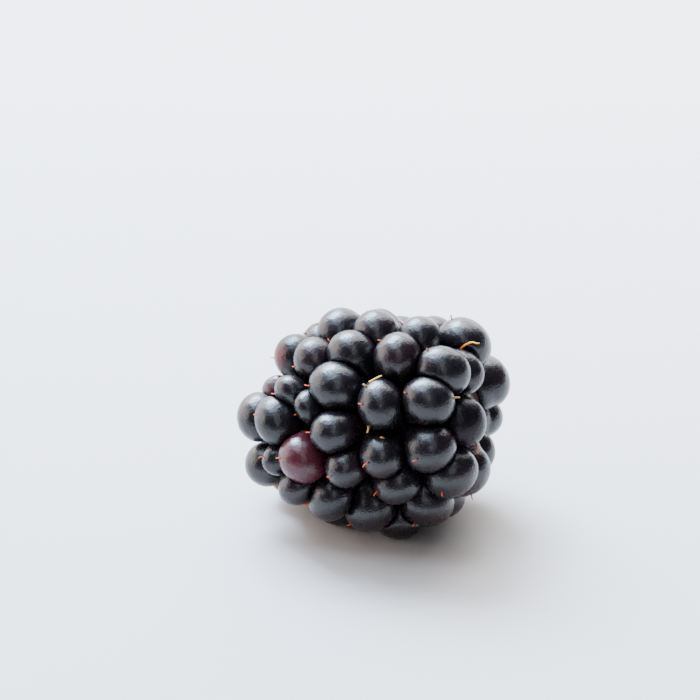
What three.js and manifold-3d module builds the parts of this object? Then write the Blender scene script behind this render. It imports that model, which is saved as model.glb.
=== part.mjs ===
// A bramble berry as picked, lying on its flank with the stalk end a little raised.
// Millimetres. +Z is up, +X runs level from the tip to the stalk end, and -Y is the front.
// The berry is a receptacle (the pale core) with a drupelet seated at every place of LAYOUT.
import * as THREE from "three";
import { mergeVertices } from "three/addons/utils/BufferGeometryUtils.js";
import Module from "manifold-3d";

const wasm = await Module();
wasm.setup();
const rad = THREE.MathUtils.degToRad;

// ---- driving dimensions ----
const TILT = rad(16.6); // the berry's own axis rises this much towards the stalk end
// The drupelets' middles sit on an egg-shaped shell about that axis.
const SHELL = { girth: 9.15, widest: 2.0, tip: 14.6, stalk: 10.2, tipBlunt: 2, stalkBlunt: 3 };
const DOME = 2.3; // how far a drupelet's skin stands out from its middle
const ROOT = 5.4; // how far its tapering root reaches in from its middle
const ROOT_FULL = 3.2; // how full the root stays below the middle (2 is an ellipse)
const FLARE = 0.45; // and how much it spreads to fill the room between its neighbours
const SIZE = 5.1; // width and length of a drupelet before its neighbours press it
const GAP = 0.3; // left free between any two pieces
const PRESS = 10; // how squarely a drupelet flattens against its neighbours
const BEDDING = 0.6; // the lowest drupelets flatten this much where the berry lies on them
// The receptacle: its greatest radius and where that lies, its two ends, and the radius of its scar.
const CORE = { girth: 3.5, widest: 2.5, tip: -10.6, stalk: 10.2, scar: 2.3 };
const HOLLOW = 0.6; // how deep the scar is hollowed

// ---- where the drupelets sit, ring by ring from the stalk end to the tip ----
// turn: degrees about the axis from the front (-Y), over the top.
// along: mm from the middle, + to the stalk. wide / long: size round and along the berry.
// out: how far it stands proud of the shell. dome: how far its skin stands out from its middle.
const LAYOUT = {
  a: [
    { turn: 6, along: 10.7, out: -1.15, wide: 4.9, long: 4.7, dome: 2.1 },
    { turn: 74, along: 11.1, out: -1.3, wide: 4.8, long: 4.6 },
    { turn: 114, along: 10.5, wide: 5.3, long: 5.2, dome: 2.4 },
    { turn: 186, along: 10.7 },
    { turn: 218, along: 9.2, out: -0.5, wide: 4.6, long: 4.6 },
    { turn: -99, along: 9.4, out: -1.8, wide: 4.4, long: 4.4 },
    { turn: -58, along: 8.8, out: -1.3 },
  ],
  b: [
    { turn: 33, along: 7.6, wide: 4.8, long: 4.9 },
    { turn: 55, along: 9.2, wide: 4.7, long: 5.4 },
    { turn: 135, along: 7.3, out: -1.1, wide: 4.4, long: 4.4 },
    { turn: -24, along: 7.7, wide: 4.7, long: 5.0 },
    { turn: 1, along: 6.7, wide: 4.4, long: 4.9 },
  ],
  c: [
    { turn: 36, along: 2.9, wide: 4.7, long: 4.0 },
    { turn: 67, along: 5.1, wide: 4.5, long: 4.3 },
    { turn: 91, along: 7.0, out: -0.7, wide: 4.3, long: 4.2 },
    { turn: 124, along: 1.8, out: -0.2, wide: 4.4, long: 4.4 },
    { turn: -79, along: 4.5, out: -0.3, wide: 4.6, long: 4.6 },
    { turn: -51, along: 3.9, wide: 4.8, long: 5.4 },
    { turn: -19, along: 2.3, out: -0.4, wide: 4.1, long: 4.4 },
    { turn: 4, along: 1.9, wide: 4.1, long: 4.2 },
  ],
  d: [
    { turn: 25, along: -2.4, wide: 4.1, long: 4.3 },
    { turn: 55, along: -1.6, wide: 4.8, long: 5.2 },
    { turn: 78, along: 0.2, wide: 4.7, long: 4.6 },
    { turn: 98, along: 2.4, wide: 4.7, long: 4.5 },
    { turn: -62, along: 0.5, out: 0.5 },
    { turn: -43, along: -1.6, long: 5.3 },
    { turn: 1, along: -2.0, wide: 3.8, long: 3.9 },
  ],
  e: [
    { turn: 48, along: -4.5, out: -0.8, wide: 3.7, long: 3.5 },
    { turn: 86, along: -3.8, wide: 4.4, long: 4.1 },
    { turn: 111, along: -1.4, out: 0.8, wide: 4.8, long: 4.7 },
    { turn: -71, along: -6.0, out: -0.6, wide: 4.6, long: 4.6 },
    { turn: -26, along: -5.0, wide: 4.6, long: 5.4 },
    { turn: 9, along: -6.4, wide: 5.1, long: 4.5 },
  ],
  f: [
    { turn: 64, along: -6.6, out: -0.6, wide: 3.8, long: 3.8 },
    { turn: 125, along: -3.9, out: 0.5, wide: 4.4, long: 4.4 },
    { turn: 107, along: -6.1, out: 0.6, wide: 4.3, long: 4.3 },
    { turn: 46, along: -8.4, wide: 5.4, long: 4.1 },
    { turn: 8, along: -9.2, out: -0.7, wide: 3.7, long: 3.4 },
    { turn: -14, along: -7.6, wide: 4.3, long: 4.3 },
    { turn: -65, along: -9.7, out: -1.6, wide: 4.8, long: 4.8 },
  ],
  g: [
    { turn: 97, along: -9.2, out: -0.5, wide: 2.9, long: 2.9, dome: 1.5 },
    { turn: 67, along: -10.8, wide: 5.0, long: 4.2 },
    { turn: -9, along: -11.5, out: -0.4, wide: 4.2, long: 4.1 },
  ],
};
// The far side and the underside: rows of evenly spaced drupelets between two turns, both left out.
const FAR_SIDE = [
  { row: "h", along: 6.6, from: 130, to: 270, count: 3 },
  { row: "i", along: 2.6, out: 0.5, from: 124, to: 281, count: 4 },
  { row: "j", along: -2.4, out: -0.35, from: 111, to: 297, count: 4 },
  { row: "k", along: -6.8, from: 107, to: 289, count: 3 },
  { row: "l", along: -10.6, from: 100, to: 305, count: 2 },
];
const FAR_SIZE = 6.0; // width and length there

const axis = new THREE.Vector3(Math.cos(TILT), 0, Math.sin(TILT));
const over = new THREE.Vector3(-Math.sin(TILT), 0, Math.cos(TILT));
const front = new THREE.Vector3(0, -1, 0);
const sum = (...terms) => terms.reduce((v, [a, k]) => v.addScaledVector(a, k), new THREE.Vector3());

// The middle of a drupelet, its outward direction, and the directions round and along the berry there.
function seat({ turn, along, wide = SIZE, long = SIZE, out = 0, dome = DOME }) {
  const s = along - SHELL.widest,
    [reach, blunt] = s < 0 ? [SHELL.tip, SHELL.tipBlunt] : [SHELL.stalk, SHELL.stalkBlunt],
    u = Math.min(Math.abs(s) / reach, 1),
    r = SHELL.girth * Math.sqrt(1 - u ** blunt);
  const radial = sum([front, Math.cos(rad(turn))], [over, Math.sin(rad(turn))]);
  const slope = (Math.sign(s) * blunt * u ** (blunt - 1)) / reach;
  const outward = sum([axis, slope], [radial, (2 * r) / SHELL.girth ** 2]).normalize();
  const around = sum([front, -Math.sin(rad(turn))], [over, Math.cos(rad(turn))]);
  const onward = new THREE.Vector3().crossVectors(outward, around);
  const middle = sum([axis, along], [radial, r], [outward, out]);
  const [s0, r0] = [middle.dot(axis), middle.dot(radial)];
  return { middle, outward, around, onward, radial, wide, long, dome, s: s0, r: r0 };
}

// The receptacle's outline from the tip to the rim of the scar, as [along, radius] pairs.
const scarTurn = Math.acos(CORE.scar / CORE.girth);
const coreOutline = Array.from({ length: 21 }, (_, i) => {
  const t = THREE.MathUtils.lerp(-Math.PI / 2, scarTurn, i / 20),
    reach = t < 0 ? CORE.widest - CORE.tip : (CORE.stalk - CORE.widest) / Math.sin(scarTurn);
  return [CORE.widest + reach * Math.sin(t), CORE.girth * Math.cos(t)];
});

// The plane that keeps a drupelet off the receptacle: square to the shortest way between them.
function coreWall(me) {
  const ways = coreOutline.map(([along, radius]) => [along - me.s, radius - me.r]);
  const [onward, inward] = ways.reduce((a, b) => (Math.hypot(...b) < Math.hypot(...a) ? b : a));
  const way = sum([axis, onward], [me.radial, inward]);
  return [way.clone().normalize(), way.length() - GAP];
}

const farPlaces = FAR_SIDE.map(({ row, along, out = 0, from, to, count }) => [
  row,
  Array.from({ length: count }, (_, i) => ({
    turn: from + ((to - from) * (i + 1)) / (count + 1),
    along,
    out,
    wide: FAR_SIZE,
    long: FAR_SIZE,
  })),
]);
const seats = [...Object.entries(LAYOUT), ...farPlaces].flatMap(([ring, places]) =>
  places.map((place, i) => ({ name: `drupelet_${ring}${i + 1}`, ...seat(place) })),
);

// Planes that press on one drupelet: [direction, distance from its middle].
function pressesOn(me) {
  const planes = [];
  for (const other of seats) {
    if (other === me) continue;
    const to = other.middle.clone().sub(me.middle),
      distance = to.length();
    if (distance > 3 * SIZE) continue;
    const mine = me.wide + me.long,
      theirs = other.wide + other.long;
    planes.push([to.normalize(), (distance * mine) / (mine + theirs) - GAP / 2]);
  }
  planes.push(coreWall(me));
  return planes;
}

// A drupelet: an egg with its tapering root to the core, squeezed smoothly inside its planes.
function drupeletGeometry(me) {
  let ball = new THREE.IcosahedronGeometry(1, 2);
  ball.deleteAttribute("uv");
  ball.deleteAttribute("normal");
  ball = mergeVertices(ball, 1e-4);
  const planes = pressesOn(me),
    p = ball.attributes.position,
    d = new THREE.Vector3();
  for (let i = 0; i < p.count; i++) {
    d.fromBufferAttribute(p, i).normalize();
    const up = d.dot(me.outward),
      [depth, full] = up > 0 ? [me.dome, 2] : [ROOT, ROOT_FULL],
      flare = 1 + FLARE * Math.min(up, 0),
      ring = flare * Math.hypot((2 * d.dot(me.around)) / me.wide, (2 * d.dot(me.onward)) / me.long),
      egg = (ring ** full + Math.abs(up / depth) ** full) ** (1 / full);
    let tight = egg ** PRESS;
    for (const [u, distance] of planes) tight += Math.max(d.dot(u) / distance, 0) ** PRESS;
    const q = me.middle.clone().addScaledVector(d, tight ** (-1 / PRESS));
    p.setXYZ(i, q.x, q.y, q.z);
  }
  return ball;
}

// The receptacle: a tapering core, hollowed a little at the scar where the stalk came away.
function coreGeometry() {
  const profile = coreOutline.map(([along, radius], i) => new THREE.Vector2(i ? radius : 0, along));
  profile.push(new THREE.Vector2(0.7 * CORE.scar, CORE.stalk - HOLLOW / 2));
  profile.push(new THREE.Vector2(0, CORE.stalk - HOLLOW));
  const lathe = new THREE.LatheGeometry(profile, 24);
  lathe.deleteAttribute("uv");
  lathe.deleteAttribute("normal");
  const core = mergeVertices(lathe, 1e-4);
  const turnTo = new THREE.Quaternion().setFromUnitVectors(new THREE.Vector3(0, 1, 0), axis);
  return core.applyQuaternion(turnTo);
}

function toSolid(geometry) {
  return new wasm.Manifold(
    new wasm.Mesh({
      numProp: 3,
      vertProperties: new Float32Array(geometry.attributes.position.array),
      triVerts: new Uint32Array(geometry.index.array),
    }),
  );
}

function toGeometry(solid) {
  const m = solid.getMesh(),
    v = new Float32Array(m.numVert * 3);
  for (let i = 0; i < m.numVert; i++)
    v.set(m.vertProperties.subarray(i * m.numProp, i * m.numProp + 3), 3 * i);
  return new THREE.BufferGeometry()
    .setAttribute("position", new THREE.BufferAttribute(v, 3))
    .setIndex(new THREE.BufferAttribute(new Uint32Array(m.triVerts), 1));
}

const ripe = new THREE.MeshStandardMaterial({ color: 0x16121c, roughness: 0.35 });
const red = new THREE.MeshStandardMaterial({ color: 0x5a1020, roughness: 0.35 });
const flesh = new THREE.MeshStandardMaterial({ color: 0xcfd0a0, roughness: 0.8 });
const UNRIPE = "drupelet_e6"; // the one drupelet that is still wine red

const berry = new THREE.Group();
berry.name = "bramble_berry";
const pieces = [["receptacle", coreGeometry(), flesh]];
for (const me of seats)
  pieces.push([me.name, drupeletGeometry(me), me.name === UNRIPE ? red : ripe]);

const lowest = Math.min(...pieces.map(([, g]) => (g.computeBoundingBox(), g.boundingBox.min.z)));
const floor = lowest + BEDDING;
for (const [name, geometry, material] of pieces) {
  const shape = geometry.boundingBox.min.z < floor
    ? toGeometry(toSolid(geometry).trimByPlane([0, 0, 1], floor))
    : geometry;
  shape.computeVertexNormals();
  const mesh = new THREE.Mesh(shape, material);
  mesh.name = name;
  berry.add(mesh);
}

// The part's origin is the middle of its box, on the surface it lies on.
const box = new THREE.Box3().setFromObject(berry),
  middle = box.getCenter(new THREE.Vector3());
for (const mesh of berry.children) mesh.geometry.translate(-middle.x, -middle.y, -floor);

export default berry;
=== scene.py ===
"""A ripe bramble berry, picked and lying on its flank on a plain pale surface."""

import math

import bmesh
import bpy
import numpy as np
from mathutils import Matrix, Vector, noise


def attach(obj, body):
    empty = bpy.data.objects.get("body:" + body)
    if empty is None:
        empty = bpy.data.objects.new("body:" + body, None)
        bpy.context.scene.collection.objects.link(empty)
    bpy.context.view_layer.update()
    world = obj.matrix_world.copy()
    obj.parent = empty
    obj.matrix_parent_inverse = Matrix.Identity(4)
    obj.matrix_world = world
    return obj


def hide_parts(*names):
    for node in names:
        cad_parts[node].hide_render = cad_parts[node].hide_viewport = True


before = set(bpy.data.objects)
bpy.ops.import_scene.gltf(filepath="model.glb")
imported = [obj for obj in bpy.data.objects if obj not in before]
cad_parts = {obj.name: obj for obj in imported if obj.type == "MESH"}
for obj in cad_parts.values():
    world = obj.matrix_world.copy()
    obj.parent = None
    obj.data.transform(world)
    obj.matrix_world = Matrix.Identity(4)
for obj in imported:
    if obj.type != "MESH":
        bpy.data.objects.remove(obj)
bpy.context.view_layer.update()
MM = 0.001

# ---- the berry's own axis, as the CAD part has it ----
TILT = math.radians(16.6)
AXIS = Vector((math.cos(TILT), 0, math.sin(TILT)))  # from the tip to the stalk end
# The shell that the drupelets' middles sit on, in mm: its radius and where it is widest, how far it
# reaches each way from there, and how blunt its ends are.
SHELL = {"girth": 9.15, "widest": 2.0, "tip": 14.6, "stalk": 10.2, "tip_blunt": 2, "stalk_blunt": 3}
CORE_STALK = 10.2 * MM  # the rim of the receptacle's scar, from the middle of the axis
LOWEST = 0.02 * MM  # nothing reaches nearer to the surface than this


# ---------------------------------------------------------------- helpers
def new_piece(name, bm, material, smooth=True):
    """A finished mesh as a named piece of the berry, shaded smooth, facing outward."""
    bmesh.ops.recalc_face_normals(bm, faces=bm.faces)
    mesh = bpy.data.meshes.new(name)
    bm.to_mesh(mesh)
    bm.free()
    if smooth:
        mesh.shade_smooth()
    mesh.materials.append(material)
    piece = bpy.data.objects.new(name, mesh)
    bpy.context.scene.collection.objects.link(piece)
    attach(piece, "root")
    return piece


def merged_copy(node):
    """A CAD node's mesh with its loose triangles joined."""
    bm = bmesh.new()
    bm.from_mesh(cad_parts[node].data)
    bmesh.ops.remove_doubles(bm, verts=bm.verts, dist=0.002 * MM)
    return bm


def corners_of(node):
    """The corners of a CAD node, each of them once."""
    bm = merged_copy(node)
    corners = np.array([v.co for v in bm.verts])
    bm.free()
    return corners


# ---------------------------------------------------------------- where the axis runs
core = corners_of("receptacle")
MIDDLE = Vector(core.mean(0))
# the middle of the axis, from the rim of the scar
rim = float(((core - np.array(MIDDLE)) @ np.array(AXIS)).max())
MIDDLE = MIDDLE + AXIS * (rim - CORE_STALK)


def outward_at(point):
    """Unit direction out of the berry at a point near its surface."""
    q = Vector(point) - MIDDLE
    along = q.dot(AXIS) / MM
    radial = q - AXIS * q.dot(AXIS)
    r = radial.length / MM
    s = along - SHELL["widest"]
    end = "tip" if s < 0 else "stalk"
    reach, blunt = SHELL[end], SHELL[end + "_blunt"]
    u = min(abs(s) / reach, 1)
    slope = math.copysign(blunt * u ** (blunt - 1) / reach, s)
    return (AXIS * slope + radial.normalized() * (2 * r / SHELL["girth"] ** 2)).normalized()


# ---------------------------------------------------------------- materials
SATIN = 0.25  # how rough a skin is
# The weakest shine darkens one drupelet as painted shade.
SHINE, SOFT_SHINE, SHADED_DULL = 1.47, 1.36, 1.25  # refractive indices: how strongly a skin shines
# How fine each pattern is, in waves to the metre.
PATCHES, BLOTCHES, SWELLS, PORES, STRANDS = 160, 700, 1800, 5600, 2600
SWELL_SHARE = 1.2  # how much the swells of a skin count beside its pores
PORE_DEPTH, FIBRE_DEPTH = 0.035 * MM, 0.2 * MM
# A red patch, in its own radii: where it has faded out, where it is full, how far its edge wanders.
PATCH_OUT, PATCH_FULL, PATCH_RAGGED = 1.6, 0.6, 1.2
# The same of the juice stain on the receptacle, measured out from the palest flesh.
STAIN_OUT, STAIN_FULL, STAIN_RAGGED = 1.6 * MM, 2.9 * MM, 1.6 * MM
PALEST = MIDDLE + AXIS * CORE_STALK + Vector((0, -0.5, 0.1)) * MM


def nodes_of(name):
    """A new material, its node tree and its shader."""
    material = bpy.data.materials.new(name)
    material.use_nodes = True
    tree = material.node_tree
    return material, tree, tree.nodes["Principled BSDF"]


def add(tree, kind, **settings):
    """A new node in a material's tree."""
    node = tree.nodes.new(kind)
    for key, value in settings.items():
        setattr(node, key, value)
    return node


def noise_at(tree, place, scale, detail=2):
    """A noise pattern over the places that an output gives."""
    node = add(tree, "ShaderNodeTexNoise")
    node.inputs["Scale"].default_value = scale
    node.inputs["Detail"].default_value = detail
    tree.links.new(place, node.inputs["Vector"])
    return node


def ramp_of(tree, value, low, low_colour, high, high_colour):
    """A colour that runs from one to another as a value rises."""
    ramp = add(tree, "ShaderNodeValToRGB")
    ends = ramp.color_ramp.elements
    ends[0].position, ends[0].color = low, (*low_colour, 1)
    ends[1].position, ends[1].color = high, (*high_colour, 1)
    tree.links.new(value, ramp.inputs["Fac"])
    return ramp.outputs["Color"]


def tinted(tree, colour, tint, place, middle, blotches, ragged, edge_from, edge_to):
    """A colour with a tint laid over it by how far a place is from a middle, with a ragged edge."""
    link = tree.links.new
    far = add(tree, "ShaderNodeVectorMath", operation="DISTANCE")
    far.inputs[1].default_value = middle
    link(place, far.inputs[0])
    edge = add(tree, "ShaderNodeMath", operation="MULTIPLY_ADD")
    edge.inputs[1].default_value = ragged
    link(blotches.outputs["Fac"], edge.inputs[0])
    link(far.outputs["Value"], edge.inputs[2])
    fade = add(tree, "ShaderNodeMapRange", interpolation_type="SMOOTHSTEP")
    fade.inputs["From Min"].default_value = edge_from
    fade.inputs["From Max"].default_value = edge_to
    link(edge.outputs[0], fade.inputs["Value"])
    mix = add(tree, "ShaderNodeMix", data_type="RGBA")
    mix.inputs["B"].default_value = (*tint, 1)
    link(fade.outputs["Result"], mix.inputs["Factor"])
    link(colour, mix.inputs["A"])
    return mix.outputs["Result"]


def roughen(tree, shader, height, depth):
    """Bumps of a depth, where a height rises and falls."""
    bump = add(tree, "ShaderNodeBump")
    bump.inputs["Strength"].default_value = 1.0
    bump.inputs["Distance"].default_value = depth
    tree.links.new(height, bump.inputs["Height"])
    tree.links.new(bump.outputs["Normal"], shader.inputs["Normal"])


def skin_material(name, deep, blush, blush_from, blush_to, ior=SHINE, patch=None):
    """Fruit skin: a deep ground, a redder blush in patches, fine pores and a satin shine.

    blush_from and blush_to say where the blush sets in and where it is full. ior is how strongly
    the skin shines. patch is the middle, the radius and the colour of one more blush, on a drupelet
    that is less ripe.
    """
    material, tree, shader = nodes_of(name)
    link = tree.links.new
    place = add(tree, "ShaderNodeTexCoord").outputs["Object"]
    patches = noise_at(tree, place, PATCHES, 3)
    colour = ramp_of(tree, patches.outputs["Fac"], blush_from, deep, blush_to, blush)
    if patch:
        middle, radius, tint = patch
        blotches = noise_at(tree, place, BLOTCHES, 3)
        ragged, edge_from, edge_to = PATCH_RAGGED * radius, PATCH_OUT * radius, PATCH_FULL * radius
        colour = tinted(tree, colour, tint, place, middle, blotches, ragged, edge_from, edge_to)
    link(colour, shader.inputs["Base Color"])
    pores = noise_at(tree, place, PORES)
    swells = noise_at(tree, place, SWELLS)
    both = add(tree, "ShaderNodeMath", operation="MULTIPLY_ADD")
    both.inputs[1].default_value = SWELL_SHARE
    link(swells.outputs["Fac"], both.inputs[0])
    link(pores.outputs["Fac"], both.inputs[2])
    roughen(tree, shader, both.outputs[0], PORE_DEPTH)
    # the swells are a little rougher than the hollows between them
    gloss = add(tree, "ShaderNodeMapRange")
    gloss.inputs["To Min"].default_value = SATIN - 0.05
    gloss.inputs["To Max"].default_value = SATIN + 0.07
    link(swells.outputs["Fac"], gloss.inputs["Value"])
    link(gloss.outputs["Result"], shader.inputs["Roughness"])
    shader.inputs["IOR"].default_value = ior
    return material


INK, PLUM = (0.0058, 0.0045, 0.0065), (0.018, 0.0055, 0.009)
WINE, CHERRY = (0.037, 0.006, 0.0105), (0.072, 0.010, 0.018)
SCARLET, MAROON = (0.11, 0.002, 0.008), (0.07, 0.006, 0.016)
ripe_skin = skin_material("ripe_skin", INK, PLUM, 0.5, 0.8)
wine_skin = skin_material("wine_red_skin", WINE, CHERRY, 0.35, 0.7)

OLIVE, CREAM, JUICE = (0.30, 0.27, 0.10), (0.66, 0.60, 0.36), (0.032, 0.006, 0.009)


def flesh_material():
    """The pithy core: cream-green and fibrous on the scar, stained with juice round it."""
    material, tree, shader = nodes_of("receptacle_flesh")
    place = add(tree, "ShaderNodeTexCoord").outputs["Object"]
    # the fibres are drawn out along the berry's axis
    drawn = add(tree, "ShaderNodeMapping")
    drawn.inputs["Rotation"].default_value = (0, TILT, 0)
    drawn.inputs["Scale"].default_value = (0.25, 1, 1)
    tree.links.new(place, drawn.inputs["Vector"])
    strands = noise_at(tree, drawn.outputs["Vector"], STRANDS, 4)
    pith = ramp_of(tree, strands.outputs["Fac"], 0.35, OLIVE, 0.65, CREAM)
    # juice stains everything but the middle of the scar
    stain = (PALEST, strands, STAIN_RAGGED, STAIN_OUT, STAIN_FULL)
    tree.links.new(tinted(tree, pith, JUICE, place, *stain), shader.inputs["Base Color"])
    roughen(tree, shader, strands.outputs["Fac"], FIBRE_DEPTH)
    shader.inputs["Roughness"].default_value = 0.7
    return material


flesh = flesh_material()


def thread_material(name, root_colour, tip_colour):
    """A dried style: its colour turns from root to tip, by an attribute along the thread."""
    material, tree, shader = nodes_of(name)
    along = add(tree, "ShaderNodeAttribute", attribute_name="along")
    colour = ramp_of(tree, along.outputs["Fac"], 0.25, root_colour, 0.85, tip_colour)
    tree.links.new(colour, shader.inputs["Base Color"])
    shader.inputs["Roughness"].default_value = 0.55
    shader.inputs["IOR"].default_value = 1.35
    return material


RED, ORANGE, GOLD = (0.50, 0.010, 0.014), (0.80, 0.16, 0.02), (0.80, 0.38, 0.03)
STRAW, TAN, BEIGE = (0.86, 0.52, 0.10), (0.42, 0.22, 0.07), (0.62, 0.38, 0.14)
red_thread = thread_material("red_thread", RED, ORANGE)
golden_thread = thread_material("golden_thread", ORANGE, GOLD)
straw_thread = thread_material("straw_thread", GOLD, STRAW)
tan_thread = thread_material("tan_thread", TAN, BEIGE)

# ---------------------------------------------------------------- drupelets
GROWN = 1.10  # how much wider a skin would grow than the CAD solid if no neighbour stopped it
SWELL = 0.3 * MM  # and how far it swells past the solid at its root
CREASE = 0.13 * MM  # the room left between two pressed skins
SQUARE = 30  # how squarely two skins flatten against each other
NEAR = 8.5 * MM  # drupelets whose middles are further apart than this don't press each other
SOFTNESS = 24  # how closely the skin follows the CAD solid
PIT = {"depth": 0.07 * MM, "radius": 0.32 * MM}  # the dimple the style grows from
LUMPS = 0.03 * MM  # how uneven a skin is
BROAD_LUMPS, SMALL_LUMPS = 420, 1100  # how many of its lumps go to the metre
CRUMPLED = {"drupelet_g1": 9}  # a failed drupelet is that many times as uneven
UNRIPE = "drupelet_e6"

# Where a style grows: degrees from the outward direction, degrees round from the way to the tip,
# and its length in mm. A drupelet not named here has its style near STYLE_LEAN, a little askew.
STYLE_LEAN = 60
THREAD, STOUT_THREAD = 0.17 * MM, 0.24 * MM  # thicknesses at the root
STYLES = {
    "a1": (60, 90, 1.2), "a3": (68, 10, 0.55), "a7": (30, 15, 0.65),
    "b1": (66, -25, 0.35), "b2": (68, -35, 0.3), "b4": (45, -5, 0.5), "b5": (40, -5, 0.7),
    "c1": (35, 0, 0.45), "c2": (46, -40, 0.35), "c3": (55, -15, 0.65), "c6": (41, 0, 0.5),
    "c7": (50, -20, 0.75), "c8": (30, -15, 0.9),
    "d1": (65, -10, 0.5), "d2": (63, -5, 0.55), "d3": (45, -20, 0.4), "d4": (31, -15, 0.35),
    "d6": (45, 0, 0.4), "d7": (25, -10, 0.5),
    "e2": (65, 30, 0.35), "e3": (50, 15, 0.4), "e5": (58, -10, 0.9), "e6": (40, -35, 0.45),
    "f2": (40, 50, 0.4), "f4": (20, -45, 0.3), "f5": (25, -60, 0.6),
}


def ball():
    """The ball of radius 1 that every skin starts from."""
    bm = bmesh.new()
    bmesh.ops.create_icosphere(bm, subdivisions=5, radius=1)
    return bm


# the directions in which a skin is shaped, one for each corner of the ball
bm = ball()
WAYS = np.array([v.co for v in bm.verts])
bm.free()
WAYS /= np.linalg.norm(WAYS, axis=1)[:, None]

# each CAD drupelet's middle, and how far it reaches from there each way
drupelets = sorted(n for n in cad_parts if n.startswith("drupelet"))
solid = {}
for node in drupelets:
    corners = corners_of(node)
    middle = corners.mean(0)
    spokes = corners - middle
    reach = np.linalg.norm(spokes, axis=1)
    weight = np.exp(SOFTNESS * (WAYS @ (spokes / reach[:, None]).T - 1))
    solid[node] = {"middle": middle, "reach": (weight @ reach) / weight.sum(1)}


def squares(ways):
    """The six squares and products of each direction, which an ellipsoid is fitted with."""
    x, y, z = ways.T
    return np.stack([x * x, y * y, z * z, x * y, x * z, y * z], 1)


def swollen(node, out):
    """How far the skin is from the middle each way, before its neighbours press on it.

    Over the outer half it is an ellipsoid fitted to the CAD solid and grown sideways; it runs over
    into the solid's own shape towards the root.
    """
    reach, up = solid[node]["reach"], WAYS @ out
    outer = up > -0.1
    # the fit counts most at the top of the dome
    trust = 0.35 + np.clip(up[outer], 0, 1)
    terms = squares(WAYS[outer]) * trust[:, None]
    fit = np.linalg.lstsq(terms, reach[outer] ** -2.0 * trust, rcond=None)[0]
    narrowed = WAYS / GROWN + np.outer(up, out) * (1 - 1 / GROWN)
    # and it never reaches more than twice as far as the solid
    dome = np.clip(squares(narrowed) @ fit, (0.5 / reach) ** 2, None) ** -0.5
    # the dome gives way smoothly to the solid's own shape, from level with the middle downwards
    share = np.clip((up + 0.5) / 0.5, 0, 1)
    share = share * share * (3 - 2 * share)
    return share * dome + (1 - share) * (reach + SWELL)


def reach_towards(node, direction):
    """How far a CAD drupelet reaches from its middle in a direction."""
    return float(solid[node]["reach"][np.argmax(WAYS @ direction)])


def towards(middle, lean, twist):
    """A direction from a drupelet's middle: so far from outward, so far round from tipward."""
    out = outward_at(middle)
    tipward = -(AXIS - out * AXIS.dot(out)).normalized()
    lean, twist = math.radians(lean), math.radians(twist)
    around = tipward * math.cos(twist) + out.cross(tipward) * math.sin(twist)
    return out * math.cos(lean) + around * math.sin(lean)


def drupelet(node, material, root):
    """A plump skin over a CAD drupelet, swollen until its neighbours stop it.

    root is the direction of the dimple that the style grows from.
    """
    middle = solid[node]["middle"]
    out = np.array(outward_at(middle))
    # each way the nearest wins: the skin's own reach, or the wall halfway to a neighbour
    tight = swollen(node, out) ** -SQUARE
    for other in drupelets:
        to = solid[other]["middle"] - middle
        apart = float(np.linalg.norm(to))
        if other == node or apart > NEAR:
            continue
        to /= apart
        mine, theirs = reach_towards(node, to), reach_towards(other, -to)
        wall = mine + (apart - mine - theirs) / 2 - CREASE / 2
        tight += np.clip(WAYS @ to / wall, 0, None) ** SQUARE
    radius = tight ** (-1 / SQUARE)
    uneven = LUMPS * CRUMPLED.get(node, 1)
    bm = ball()
    for v, d, r in zip(bm.verts, WAYS, radius):
        direction = Vector(d)
        p = Vector(middle) + direction * float(r)
        lump = uneven * (noise.noise(p * BROAD_LUMPS) + 0.25 * noise.noise(p * SMALL_LUMPS))
        off = (direction - root).length * float(r)
        pit = PIT["depth"] * math.exp(-((off / PIT["radius"]) ** 2))
        p += direction * (lump - pit)
        p.z = max(p.z, LOWEST)
        v.co = p
    skin = new_piece(node.replace("drupelet", "skin"), bm, material)
    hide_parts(node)
    return skin


def on_skin(skin, middle, direction):
    """The point of a drupelet's skin in a direction from its middle."""
    co = np.array([v.co for v in skin.data.vertices])
    d = co - middle
    d /= np.linalg.norm(d, axis=1)[:, None]
    return Vector(co[np.argmax(d @ np.array(direction))])


# ---------------------------------------------------------------- styles
SUNK = 0.15  # the share of a thread that is below the skin
WOBBLE = 0.12  # how far it strays from its curve, as a share of its length


def style(name, start, away, length, thick, curl, seed, material=red_thread, bend=None):
    """A dried thread: a tapering tube that sets off away and curls over towards bend.

    seed makes one thread's wobble, and its bend where none is given, unlike another's.
    """
    bm = bmesh.new()
    bmesh.ops.create_cone(bm, segments=8, radius1=1, radius2=0.6, depth=1, cap_ends=True)
    # rings along the thread let it bend
    long_edges = [e for e in bm.edges if abs(e.verts[0].co.z - e.verts[1].co.z) > 0.5]
    bmesh.ops.subdivide_edges(bm, edges=long_edges, cuts=7)
    along = [v.co.z + 0.5 for v in bm.verts]
    side = bend or Matrix.Rotation(seed * 2.4, 3, away) @ away.orthogonal().normalized()
    across = away.cross(side).normalized()
    for v, t in zip(bm.verts, along):
        stray = noise.noise(Vector((seed * 3.1, t * 3.0, 0.5))) * WOBBLE
        middle = start + away * (length * (t - SUNK)) + side * (length * (curl * t * t + stray * t))
        onward = (away + side * (2 * curl * t)).normalized()
        v.co = middle + (across.cross(onward) * v.co.x + across * v.co.y) * (thick / 2)
        v.co.z = max(v.co.z, LOWEST)
    piece = new_piece(name, bm, material)
    piece.data.attributes.new("along", "FLOAT", "POINT").data.foreach_set("value", along)


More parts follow.
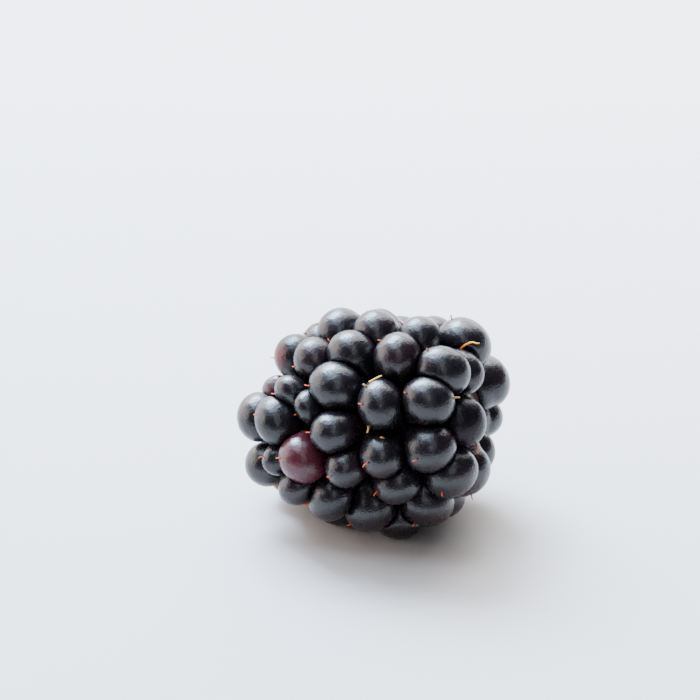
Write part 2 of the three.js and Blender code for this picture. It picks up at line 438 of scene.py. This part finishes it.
def skin_for(node, middle):
    """A drupelet's own skin: ripe, but for the odd ones."""
    if node == UNRIPE:
        return wine_skin
    if node == "drupelet_g1":  # failed
        return skin_material("failed_drupelet_skin", PLUM, WINE, 0.4, 0.6)
    if node == "drupelet_f3":  # blushed red on the side that faces the tip
        red = (middle + Vector((-0.85, -0.42, 0.16)) * (2.5 * MM), 2.0 * MM, SCARLET)
        return skin_material("blushed_skin", INK, PLUM, 0.5, 0.8, SOFT_SHINE, red)
    if node == "drupelet_b3":  # blushed a little on the top of its dome
        red = (middle + towards(middle, 20, 180) * (2.6 * MM), 2.2 * MM, MAROON)
        return skin_material("far_blushed_skin", INK, PLUM, 0.5, 0.8, SHINE, red)
    if node == "drupelet_a1":  # a weaker shine darkens it: painted shade, where it lies under its neighbours
        return skin_material("dull_skin", INK, PLUM, 0.4, 0.7, SHADED_DULL)
    return ripe_skin


rng = np.random.default_rng(7)
skins = {}
for i, node in enumerate(drupelets):
    middle = Vector(solid[node]["middle"])
    askew, length, curl = rng.uniform(-15, 15), rng.uniform(0.35, 0.7), rng.uniform(-0.4, 0.5)
    lean, twist, length = STYLES.get(node[-2:], (STYLE_LEAN + askew / 3, askew, float(length)))
    root = towards(middle, lean, twist)
    skins[node] = drupelet(node, skin_for(node, middle), root)
    if node == "drupelet_a2":  # its style is the long one, below
        continue
    foot = on_skin(skins[node], np.array(middle), root)
    tipward = towards(middle, 90, 0)
    away = (root + tipward * 0.4 + outward_at(middle) * 0.2).normalized()
    style(node.replace("drupelet", "style"), foot, away, length * MM, THREAD, float(curl), i)

# One style is still long, and a shed one and a few scraps lie caught in the creases. Each has its
# drupelet and its seat there, as towards() has them, the way it sets off, its length and its curl.
LONG_BEND = Vector((0.15, -0.44, -0.89))
CAUGHT = [
    ("long_style", "a2", (54, -58), (0.49, 0.18, 0.90), 4.0, 0.56, golden_thread, LONG_BEND),
    ("shed_style", "c1", (62, -82), (0.84, 0.32, 0.42), 1.4, 0.0, straw_thread),
    ("style_scrap_1", "c1", (50, -67), (-0.5, -0.6, 0.5), 0.4, 0.5, tan_thread),
    ("style_scrap_2", "c1", (78, 55), (0.4, -0.5, -0.6), 0.6, 0.7, tan_thread),
    ("style_scrap_3", "c8", (72, -112), (-0.3, -0.5, 0.7), 0.6, 0.3, tan_thread),
    ("style_scrap_4", "b1", (70, 175), (0.5, -0.5, 0.5), 0.6, 0.6, tan_thread),
]
for i, (name, place, seat, away, length, curl, material, *bend) in enumerate(CAUGHT):
    node = "drupelet_" + place
    middle = Vector(solid[node]["middle"])
    foot = on_skin(skins[node], np.array(middle), towards(middle, *seat))
    away = Vector(away).normalized()
    style(name, foot, away, length * MM, STOUT_THREAD, curl, i, material, *bend)

# ---------------------------------------------------------------- receptacle
bm = merged_copy("receptacle")
receptacle = new_piece("receptacle_core", bm, flesh, smooth=False)
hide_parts("receptacle")


# ---------------------------------------------------------------- floor, backdrop and light
def stage_piece(name, bm, material):
    """A piece of the set that the berry lies in."""
    mesh = bpy.data.meshes.new(name)
    bm.to_mesh(mesh)
    bm.free()
    mesh.shade_smooth()
    mesh.materials.append(material)
    piece = bpy.data.objects.new(name, mesh)
    bpy.context.scene.collection.objects.link(piece)


paper, _, shader = nodes_of("backdrop_paper")
shader.inputs["Base Color"].default_value = (0.485, 0.445, 0.425, 1)
shader.inputs["Roughness"].default_value = 0.9

# The paper runs level from its front edge, bends up on an arc and stands as a wall, in metres.
HALF_WIDE, FRONT_EDGE, LEVEL, BEND, WALL = 1.6, -0.9, 1.6, 0.35, 1.2
ARC = BEND * math.pi / 2  # how long the bend is
bm = bmesh.new()
bmesh.ops.create_grid(bm, x_segments=2, y_segments=80, size=1)
for v in bm.verts:
    d = (v.co.y + 1) / 2 * (LEVEL + ARC + WALL)  # how far along the paper
    if d < LEVEL:
        y, z = d, 0.0
    elif d < LEVEL + ARC:
        turned = (d - LEVEL) / BEND
        y, z = LEVEL + BEND * math.sin(turned), BEND * (1 - math.cos(turned))
    else:
        y, z = LEVEL + BEND, BEND + d - LEVEL - ARC
    v.co = Vector((v.co.x * HALF_WIDE, FRONT_EDGE + y, z))
stage_piece("backdrop", bm, paper)


def soft_light(name, place, size, power, colour, target=(0, 0, 0.01), spread=180):
    """A rectangular panel of light in watts, turned to a target; the camera doesn't see it."""
    light = bpy.data.lights.new(name, "AREA")
    light.shape = "RECTANGLE"
    light.size, light.size_y = size
    light.energy = power
    light.color = colour
    light.spread = math.radians(spread)
    lamp = bpy.data.objects.new(name, light)
    bpy.context.scene.collection.objects.link(lamp)
    lamp.location = place
    facing = Vector(target) - Vector(place)
    lamp.rotation_euler = facing.to_track_quat("-Z", "Y").to_euler()
    lamp.visible_camera = False


soft_light("overhead_softbox", (-0.20, 0.30, 0.45), (0.34, 0.26), 23.0, (0.52, 0.74, 1.0))
soft_light("top_panel", (-0.16, 0.07, 0.60), (0.55, 0.40), 8.0, (0.68, 0.82, 1.0))
soft_light("back_panel", (-0.12, 0.58, 0.42), (1.30, 0.75), 22.0, (0.95, 0.97, 1.0))
soft_light("left_panel", (-0.66, 0.10, 0.20), (0.90, 0.60), 10.5, (1.0, 0.91, 0.88))
# a faint tall strip in front divides the dark middle of each reflection in two
soft_light("front_strip", (0.12, -0.54, 0.58), (0.17, 0.85), 1.8, (0.90, 0.92, 1.0))
# the floor behind the berry is lit once more: it gives the thin bright rims
BEHIND = (0.20, 0.42, 0)
soft_light("floor_light", (0.20, 0.42, 0.50), (0.40, 0.40), 7.0, (1.0, 1.0, 1.0), BEHIND, 80)

world = bpy.data.worlds.new("studio")
bpy.context.scene.world = world
world.use_nodes = True
room = world.node_tree.nodes["Background"]
room.inputs["Color"].default_value = (0.5, 0.52, 0.56, 1)
room.inputs["Strength"].default_value = 0.16

# ---------------------------------------------------------------- camera
AZIMUTH, ELEVATION = math.radians(7.2), math.radians(27)
DISTANCE, ACROSS = 0.45, 0.070  # metres: how far off the camera is, and how much it sees across
back = Vector((
    math.sin(AZIMUTH) * math.cos(ELEVATION),
    -math.cos(AZIMUTH) * math.cos(ELEVATION),
    math.sin(ELEVATION),
))
right = Vector((math.cos(AZIMUTH), math.sin(AZIMUTH), 0))
up = back.cross(right)
# the berry lies a little right of the middle of the view, and below it
aim = MIDDLE + right * (-2.65 * MM) + up * (7.25 * MM)
lens = bpy.data.cameras.new("camera")
lens.lens = lens.sensor_width * DISTANCE / ACROSS
lens.clip_start, lens.clip_end = 0.01, 20
camera = bpy.data.objects.new("camera", lens)
bpy.context.scene.collection.objects.link(camera)
camera.location = aim + back * DISTANCE
camera.rotation_euler = (-back).to_track_quat("-Z", "Y").to_euler()
bpy.context.scene.camera = camera
